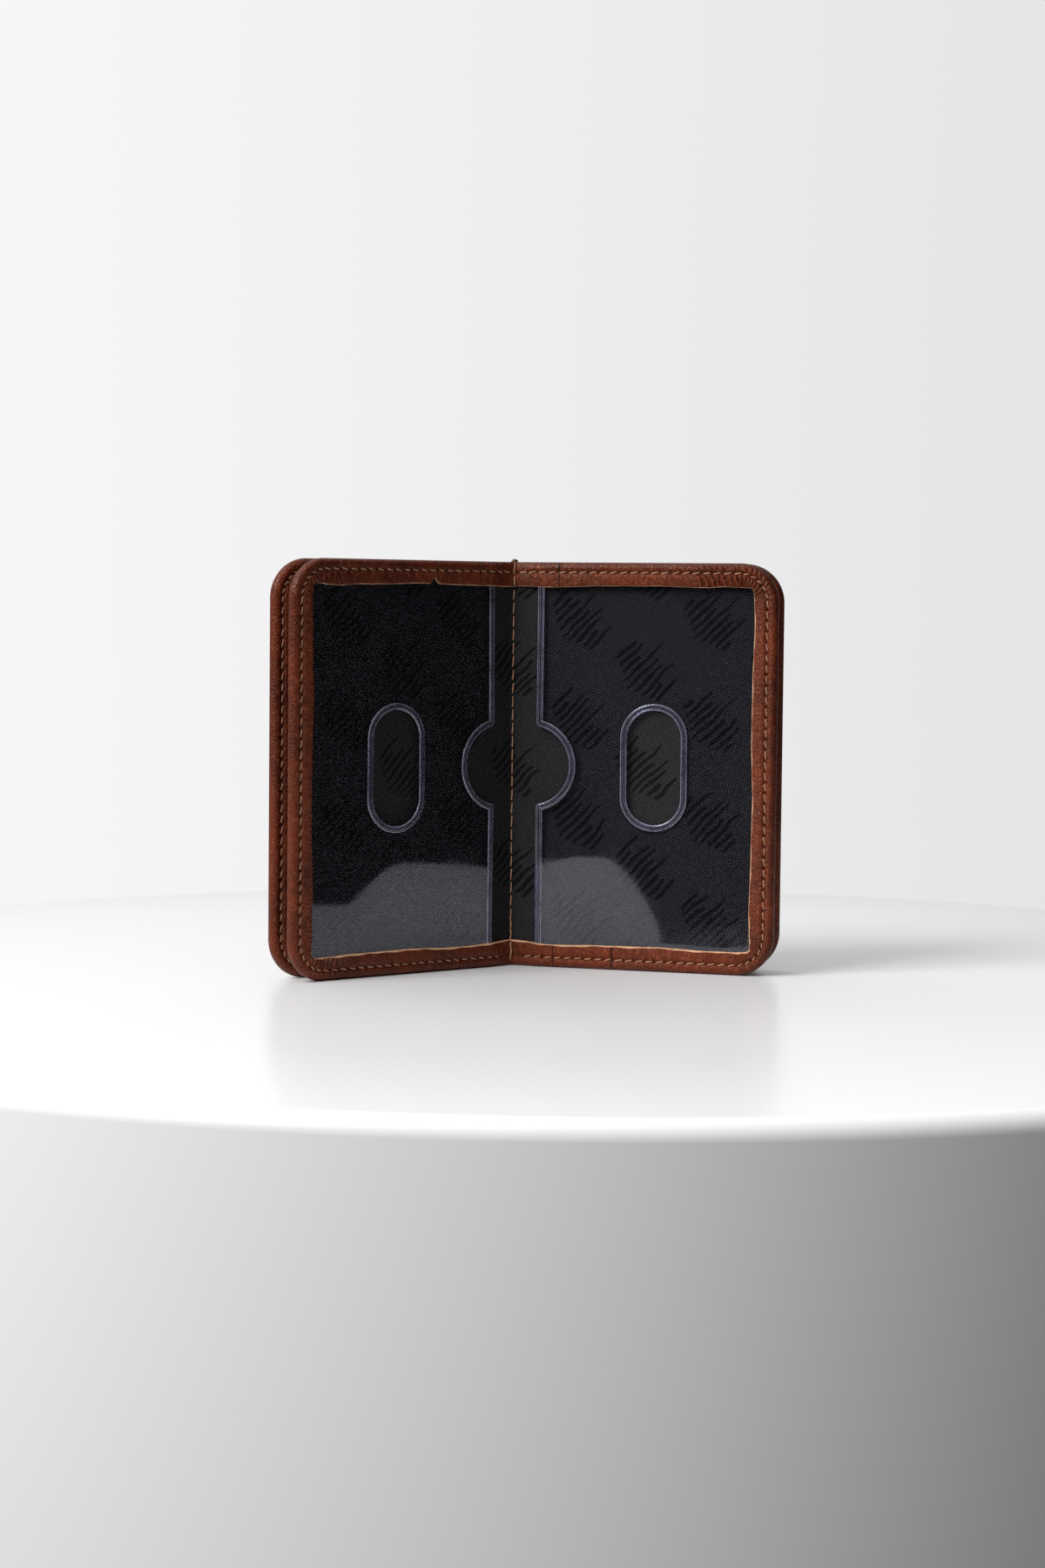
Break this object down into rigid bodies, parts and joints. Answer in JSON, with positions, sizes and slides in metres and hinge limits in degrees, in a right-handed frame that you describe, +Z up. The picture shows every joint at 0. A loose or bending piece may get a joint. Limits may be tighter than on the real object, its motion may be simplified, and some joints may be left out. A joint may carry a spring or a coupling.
{
  "type": "passport holder wallet",
  "caption": "Folding leather document holder: two nested hinged books with clear card pockets, thumb notches and push-out slots, standing open in a V.",
  "frame": {"origin": "middle of the underside of the stitched spine, level with the surface it stands on", "axes": "+Z up, along the spine fold; +X across the opened wallet towards the right leaves; -Y towards the mouth of the V, where a user reads it"},
  "size_m": [0.1276, 0.0352, 0.1008],
  "materials": {
    "leather": "fine grained reddish brown, semi-matt",
    "lining": "black ribbed jacquard",
    "clear_sheet": "clear glossy flexible sheet",
    "board": "pressed fibre board, hidden",
    "thread": "twisted tan thread, satin",
    "knot": "melted thread end"
  },
  "bodies": {
    "spine": {"spine_inner_leather": "leather", "spine_inner_lining": "lining", "spine_outer_leather": "leather", "spine_outer_lining": "lining", "spine_thread": "thread", "spine_backtack": "thread", "spine_knot": "knot"},
    "left_inner": {"left_inner_cover": "leather", "left_inner_board": "board", "left_inner_lining": "lining", "left_inner_pocket": "clear_sheet", "left_inner_seam": "thread", "left_inner_fold": "leather"},
    "right_inner": {"right_inner_cover": "leather", "right_inner_board": "board", "right_inner_lining": "lining", "right_inner_pocket": "clear_sheet", "right_inner_seam": "thread", "right_inner_fold": "leather"},
    "left_outer": {"left_outer_cover": "leather", "left_outer_board": "board", "left_outer_lining": "lining", "left_outer_pocket": "clear_sheet", "left_outer_seam": "thread", "left_outer_fold": "leather"},
    "right_outer": {"right_outer_cover": "leather", "right_outer_board": "board", "right_outer_lining": "lining", "right_outer_pocket": "clear_sheet", "right_outer_seam": "thread", "right_outer_fold": "leather"}
  },
  "joints": [
    {"name": "left_fold", "type": "hinge", "parent": "spine", "child": "left_inner", "pos_m": [0, -0.00229, 0], "axis": [0, 0, -1], "range_deg": [-62, 28], "deforming": ["left_inner_fold"]},
    {"name": "right_fold", "type": "hinge", "parent": "spine", "child": "right_inner", "pos_m": [0, -0.00229, 0], "axis": [0, 0, 1], "range_deg": [-62, 28], "deforming": ["right_inner_fold"]},
    {"name": "left_splay", "type": "hinge", "parent": "left_inner", "child": "left_outer", "pos_m": [0, -0.00229, 0], "axis": [0, 0, -1], "range_deg": [-4.7, 35.3], "deforming": ["left_outer_fold"]},
    {"name": "right_splay", "type": "hinge", "parent": "right_inner", "child": "right_outer", "pos_m": [0, -0.00229, 0], "axis": [0, 0, 1], "range_deg": [-8, 32], "deforming": ["right_outer_fold"]}
  ]
}
